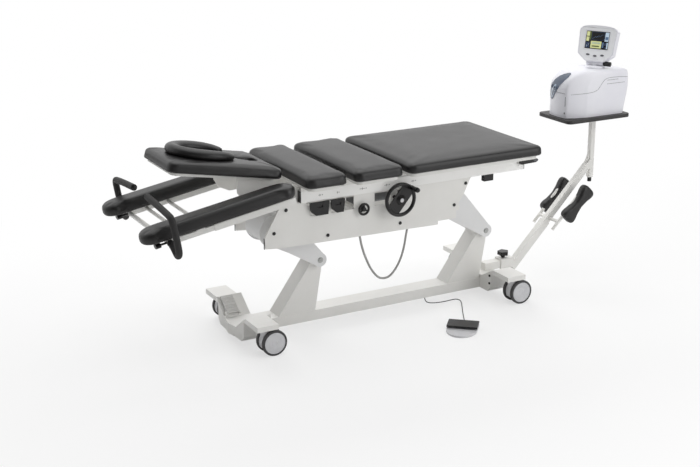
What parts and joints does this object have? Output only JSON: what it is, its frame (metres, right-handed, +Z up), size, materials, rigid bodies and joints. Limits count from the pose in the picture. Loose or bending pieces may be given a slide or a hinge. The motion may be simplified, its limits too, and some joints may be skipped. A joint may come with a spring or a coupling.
{
  "type": "traction table",
  "caption": "Height-adjustable traction table on casters with a tilting head section, sliding leg section, arm rests and a mast with shelf, traction unit and display",
  "frame": {"origin": "on the floor, under the middle of the object seen from above", "axes": "+X towards the foot end and the mast, +Y to the far side, +Z up"},
  "size_m": [2.7944, 0.9287, 1.3377],
  "materials": {
    "powder_coat": "off-white powder coat",
    "vinyl": "dark grey upholstery vinyl",
    "white_plastic": "off-white moulded plastic",
    "steel": "ground steel",
    "grey_plastic": "light grey plastic",
    "foam": "black foam tube",
    "screen": "glossy display pane",
    "tread_rubber": "grey wheel tread",
    "cord_rubber": "black cord sheath",
    "black_plastic": "black moulded plastic"
  },
  "bodies": {
    "base": {"base_frame": "powder_coat", "cross_members": "powder_coat", "lower_pins": "steel", "cord_gland": "black_plastic", "foot_switch_cord": "cord_rubber", "foot_switch_base": "steel"},
    "switch_tread": {"foot_switch_tread": "black_plastic"},
    "brake_pedal": {"brake_pedal": "grey_plastic"},
    "arm_head": {"lift_arm_head": "powder_coat"},
    "arm_foot": {"lift_arm_foot": "powder_coat"},
    "platform": {"lift_actuator": "black_plastic", "side_rails": "powder_coat", "platform_frame": "powder_coat", "side_panel_near": "powder_coat", "side_panel_far": "powder_coat", "plastic_trim": "black_plastic", "cushion_thoracic": "vinyl", "cushion_lumbar": "vinyl", "cable_loop": "grey_plastic"},
    "rod": {"actuator_rod": "steel"},
    "handwheel": {"handwheel": "black_plastic"},
    "spinner": {"spinner_handle": "black_plastic"},
    "small_handwheel": {"small_handwheel": "black_plastic"},
    "paddle_head": {"paddle_lever_head": "black_plastic"},
    "paddle_foot": {"paddle_lever_foot": "black_plastic"},
    "carriage": {"long_carriage": "powder_coat", "cushion_long": "vinyl"},
    "release_lever": {"release_lever": "black_plastic"},
    "head_section": {"head_frame": "powder_coat", "head_cushion": "vinyl", "face_pillow": "vinyl"},
    "arm_rest": {"arm_frame": "powder_coat"},
    "arm_slide": {"arm_slide": "powder_coat", "arm_pads": "vinyl"},
    "grip_near": {"grip_near": "foam"},
    "grip_far": {"grip_far": "foam"},
    "grip_knob_near": {"grip_knob_near": "black_plastic"},
    "grip_knob_far": {"grip_knob_far": "black_plastic"},
    "stand": {"lower_mast_tube": "powder_coat"},
    "t_knob": {"t_knob": "black_plastic"},
    "mast": {"upper_mast_tube": "powder_coat", "bolsters": "vinyl"},
    "mast_knob": {"mast_knob": "black_plastic"},
    "shelf": {"shelf": "black_plastic", "unit_housing": "white_plastic"},
    "display_neck": {"display_neck": "white_plastic"},
    "display": {"display_housing": "white_plastic", "display_screen": "screen"},
    "display_knob": {"display_knob": "black_plastic"},
    "button_left": {"display_button_left": "black_plastic"},
    "button_middle": {"display_button_middle": "black_plastic"},
    "button_right": {"display_button_right": "black_plastic"},
    "fork_head_near": {"caster_fork_head_near": "grey_plastic"},
    "wheels_head_near": {"caster_wheels_head_near": "tread_rubber"},
    "fork_head_far": {"caster_fork_head_far": "grey_plastic"},
    "wheels_head_far": {"caster_wheels_head_far": "tread_rubber"},
    "fork_foot_near": {"caster_fork_foot_near": "grey_plastic"},
    "wheels_foot_near": {"caster_wheels_foot_near": "tread_rubber"},
    "fork_foot_far": {"caster_fork_foot_far": "grey_plastic"},
    "wheels_foot_far": {"caster_wheels_foot_far": "tread_rubber"}
  },
  "joints": [
    {"name": "swivel_head_near", "type": "hinge", "parent": "base", "child": "fork_head_near", "pos_m": [-0.82377, -0.17653, 0.0625], "axis": [0, 0, 1], "continuous": true},
    {"name": "roll_head_near", "type": "hinge", "parent": "fork_head_near", "child": "wheels_head_near", "pos_m": [-0.78777, -0.17653, 0.0625], "axis": [0, 1, 0], "continuous": true},
    {"name": "swivel_head_far", "type": "hinge", "parent": "base", "child": "fork_head_far", "pos_m": [-0.82377, 0.34147, 0.0625], "axis": [0, 0, 1], "continuous": true},
    {"name": "roll_head_far", "type": "hinge", "parent": "fork_head_far", "child": "wheels_head_far", "pos_m": [-0.78777, 0.34147, 0.0625], "axis": [0, 1, 0], "continuous": true},
    {"name": "swivel_foot_near", "type": "hinge", "parent": "base", "child": "fork_foot_near", "pos_m": [0.56923, -0.17653, 0.0625], "axis": [0, 0, 1], "continuous": true},
    {"name": "roll_foot_near", "type": "hinge", "parent": "fork_foot_near", "child": "wheels_foot_near", "pos_m": [0.60523, -0.17653, 0.0625], "axis": [0, 1, 0], "continuous": true},
    {"name": "swivel_foot_far", "type": "hinge", "parent": "base", "child": "fork_foot_far", "pos_m": [0.56923, 0.34147, 0.0625], "axis": [0, 0, 1], "continuous": true},
    {"name": "roll_foot_far", "type": "hinge", "parent": "fork_foot_far", "child": "wheels_foot_far", "pos_m": [0.60523, 0.34147, 0.0625], "axis": [0, 1, 0], "continuous": true},
    {"name": "lift", "type": "hinge", "parent": "base", "child": "arm_head", "pos_m": [-0.43577, 0.08247, 0.345], "axis": [0, 1, 0], "range_deg": [-64, 40]},
    {"name": "lift_foot", "type": "hinge", "parent": "base", "child": "arm_foot", "pos_m": [0.52623, 0.08247, 0.345], "axis": [0, 1, 0], "range_deg": [-64, 40]},
    {"name": "platform_level", "type": "hinge", "parent": "arm_head", "child": "platform", "pos_m": [-0.67376, 0.08247, 0.52434], "axis": [0, 1, 0], "range_deg": [-40, 64], "deforming": ["cable_loop"]},
    {"name": "actuator_stroke", "type": "slide", "parent": "platform", "child": "rod", "axis": [1, 0, 0], "range_m": [-0.0738, 0.0462]},
    {"name": "brake_pedal_press", "type": "hinge", "parent": "base", "child": "brake_pedal", "pos_m": [-0.83377, 0.15776, 0.09985], "axis": [1, 0, 0], "range_deg": [0, 15]},
    {"name": "foot_switch_rock", "type": "hinge", "parent": "base", "child": "switch_tread", "pos_m": [0.16223, -0.34553, 0.012], "axis": [0.7547, -0.6561, 0], "range_deg": [-4, 4], "stiffness_Nm_per_rad": 6},
    {"name": "handwheel_turn", "type": "hinge", "parent": "platform", "child": "handwheel", "pos_m": [-0.07377, -0.13753, 0.631], "axis": [0, 1, 0], "continuous": true},
    {"name": "spinner_turn", "type": "hinge", "parent": "handwheel", "child": "spinner", "pos_m": [-0.02492, -0.17753, 0.68922], "axis": [0, 1, 0], "continuous": true},
    {"name": "small_handwheel_turn", "type": "hinge", "parent": "platform", "child": "small_handwheel", "pos_m": [-0.25677, -0.10553, 0.602], "axis": [0, 1, 0], "continuous": true},
    {"name": "paddle_head_pull", "type": "hinge", "parent": "platform", "child": "paddle_head", "pos_m": [-0.49077, -0.09603, 0.664], "axis": [-1, 0, 0], "range_deg": [0, 30], "stiffness_Nm_per_rad": 2},
    {"name": "paddle_foot_pull", "type": "hinge", "parent": "platform", "child": "paddle_foot", "pos_m": [-0.39477, -0.09603, 0.664], "axis": [-1, 0, 0], "range_deg": [0, 30], "stiffness_Nm_per_rad": 2},
    {"name": "long_section_slide", "type": "slide", "parent": "platform", "child": "carriage", "axis": [1, 0, 0], "range_m": [0, 0.08]},
    {"name": "release_lever_pull", "type": "hinge", "parent": "carriage", "child": "release_lever", "pos_m": [0.64973, -0.10953, 0.7185], "axis": [0, -1, 0], "range_deg": [0, 12], "stiffness_Nm_per_rad": 4},
    {"name": "head_tilt", "type": "hinge", "parent": "platform", "child": "head_section", "pos_m": [-0.71177, 0.08247, 0.716], "axis": [0, 1, 0], "range_deg": [-20, 12]},
    {"name": "arm_rest_tilt", "type": "hinge", "parent": "platform", "child": "arm_rest", "pos_m": [-0.66677, 0.08247, 0.719], "axis": [0, 1, 0], "range_deg": [-15, 0]},
    {"name": "arm_rest_slide", "type": "slide", "parent": "arm_rest", "child": "arm_slide", "axis": [-0.9854, 0, -0.1702], "range_m": [0, 0.1]},
    {"name": "grip_near_swing", "type": "hinge", "parent": "arm_slide", "child": "grip_near", "pos_m": [-1.26393, -0.17953, 0.61585], "axis": [0, 1, 0], "range_deg": [-30, 30]},
    {"name": "grip_knob_near_turn", "type": "hinge", "parent": "arm_slide", "child": "grip_knob_near", "pos_m": [-1.32601, -0.16753, 0.60513], "axis": [-0.9854, 0, -0.1702], "continuous": true},
    {"name": "grip_far_swing", "type": "hinge", "parent": "arm_slide", "child": "grip_far", "pos_m": [-1.26393, 0.34447, 0.61585], "axis": [0, 1, 0], "range_deg": [-30, 30]},
    {"name": "grip_knob_far_turn", "type": "hinge", "parent": "arm_slide", "child": "grip_knob_far", "pos_m": [-1.32601, 0.33247, 0.60513], "axis": [-0.9854, 0, -0.1702], "continuous": true},
    {"name": "stand_slide", "type": "slide", "parent": "base", "child": "stand", "axis": [1, 0, 0], "range_m": [0, 0.05]},
    {"name": "t_knob_turn", "type": "hinge", "parent": "stand", "child": "t_knob", "pos_m": [0.69623, 0.08247, 0.16], "axis": [0, 0, 1], "continuous": true},
    {"name": "mast_slide", "type": "slide", "parent": "stand", "child": "mast", "axis": [0.6947, 0, 0.7193], "range_m": [0, 0.1]},
    {"name": "mast_knob_turn", "type": "hinge", "parent": "mast", "child": "mast_knob", "pos_m": [1.25223, 0.08247, 0.508], "axis": [0, 0, 1], "continuous": true},
    {"name": "shelf_swivel", "type": "hinge", "parent": "mast", "child": "shelf", "pos_m": [1.25223, 0.08247, 0.838], "axis": [0, 0, 1], "range_deg": [-90, 90]},
    {"name": "display_swivel", "type": "hinge", "parent": "shelf", "child": "display_neck", "pos_m": [1.24823, 0.08247, 1.116], "axis": [0, 0, 1], "range_deg": [-45, 45]},
    {"name": "display_tilt", "type": "hinge", "parent": "display_neck", "child": "display", "pos_m": [1.24823, 0.08247, 1.138], "axis": [-0.4695, 0.8829, 0], "range_deg": [-20, 25]},
    {"name": "display_knob_turn", "type": "hinge", "parent": "display", "child": "display_knob", "pos_m": [1.29987, -0.01465, 1.138], "axis": [-0.4695, 0.8829, 0], "continuous": true},
    {"name": "button_left_press", "type": "slide", "parent": "display", "child": "button_left", "axis": [0.8487, 0.4513, -0.2756], "range_m": [0, 0.003], "stiffness_N_per_m": 300},
    {"name": "button_middle_press", "type": "slide", "parent": "display", "child": "button_middle", "axis": [0.8487, 0.4513, -0.2756], "range_m": [0, 0.003], "stiffness_N_per_m": 300},
    {"name": "button_right_press", "type": "slide", "parent": "display", "child": "button_right", "axis": [0.8487, 0.4513, -0.2756], "range_m": [0, 0.003], "stiffness_N_per_m": 300}
  ],
  "couplings": [
    {"joint": "lift_foot", "follows": "lift", "ratio": 1},
    {"joint": "platform_level", "follows": "lift", "ratio": -1},
    {"joint": "actuator_stroke", "follows": "lift", "m_per_rad": 0.066}
  ]
}
